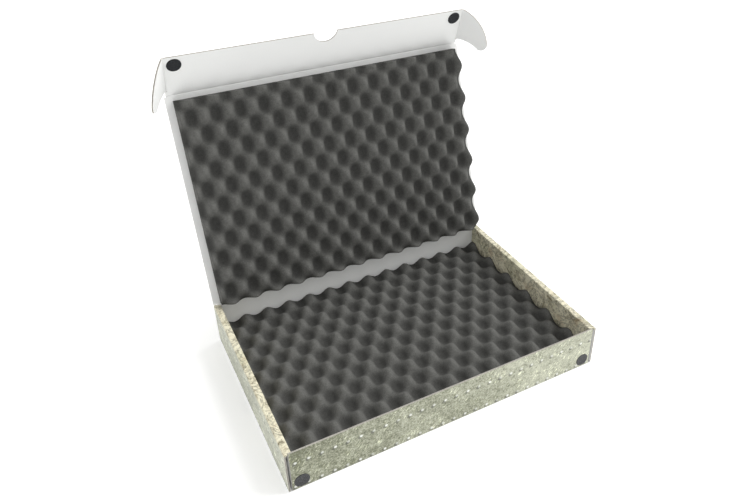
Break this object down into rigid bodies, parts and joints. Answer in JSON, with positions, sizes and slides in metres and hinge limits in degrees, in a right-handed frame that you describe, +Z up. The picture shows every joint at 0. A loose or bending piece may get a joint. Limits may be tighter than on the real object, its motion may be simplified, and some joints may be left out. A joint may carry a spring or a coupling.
{
  "type": "archival box",
  "caption": "Shallow folded corrugated box with roll-over side walls, hinged lid, tuck flap with ears, hook-and-loop coins and egg-crate foam pads.",
  "frame": {"origin": "centre of the box's underside, where it rests", "axes": "+Z up, +X to the box's right seen from the front, -Y to the front, where the lid closes; the lid hinges on a crease along X at the back"},
  "size_m": [0.387, 0.2981, 0.3236],
  "materials": {
    "printed_board": "satin varnished print of weathered metal and stone on fine-flute board",
    "plain_board": "matt white-lined fine-flute board",
    "foam": "open-cell charcoal foam cut to an egg-crate surface",
    "hook_and_loop": "black woven hook-and-loop",
    "adhesive_film": "thin double-sided adhesive"
  },
  "bodies": {
    "tray": {"back_left_corner_flap": "plain_board", "back_right_corner_flap": "plain_board", "back_wall": "plain_board", "base_panel": "plain_board", "front_left_corner_flap": "plain_board", "front_right_corner_flap": "plain_board", "front_wall": "printed_board", "left_inner_wall": "printed_board", "left_loop_coin": "hook_and_loop", "left_outer_wall": "printed_board", "left_wall_rim": "printed_board", "right_inner_wall": "printed_board", "right_loop_coin": "hook_and_loop", "right_outer_wall": "printed_board", "right_wall_rim": "printed_board", "tray_foam": "foam", "tray_foam_film": "adhesive_film"},
    "lid": {"lid_panel": "plain_board", "lid_foam_film": "adhesive_film", "lid_foam": "foam"},
    "front_flap": {"lid_front_flap": "plain_board", "left_hook_coin": "hook_and_loop", "right_hook_coin": "hook_and_loop"},
    "left_ear": {"left_ear": "plain_board"},
    "right_ear": {"right_ear": "plain_board"}
  },
  "joints": [
    {"name": "lid_hinge", "type": "hinge", "parent": "tray", "child": "lid", "pos_m": [0, 0.11625, 0.05095], "axis": [1, 0, 0], "range_deg": [-74.5, 105.5]},
    {"name": "flap_fold", "type": "hinge", "parent": "lid", "child": "front_flap", "pos_m": [0, 0.17937, 0.27856], "axis": [1, 0, 0], "range_deg": [-36.5, 53.5]},
    {"name": "left_ear_fold", "type": "hinge", "parent": "front_flap", "child": "left_ear", "pos_m": [-0.17225, 0.17937, 0.27856], "axis": [0, -0.3584, 0.9336], "range_deg": [-60, 30]},
    {"name": "right_ear_fold", "type": "hinge", "parent": "front_flap", "child": "right_ear", "pos_m": [0.17225, 0.17937, 0.27856], "axis": [0, 0.3584, -0.9336], "range_deg": [-60, 30]}
  ]
}
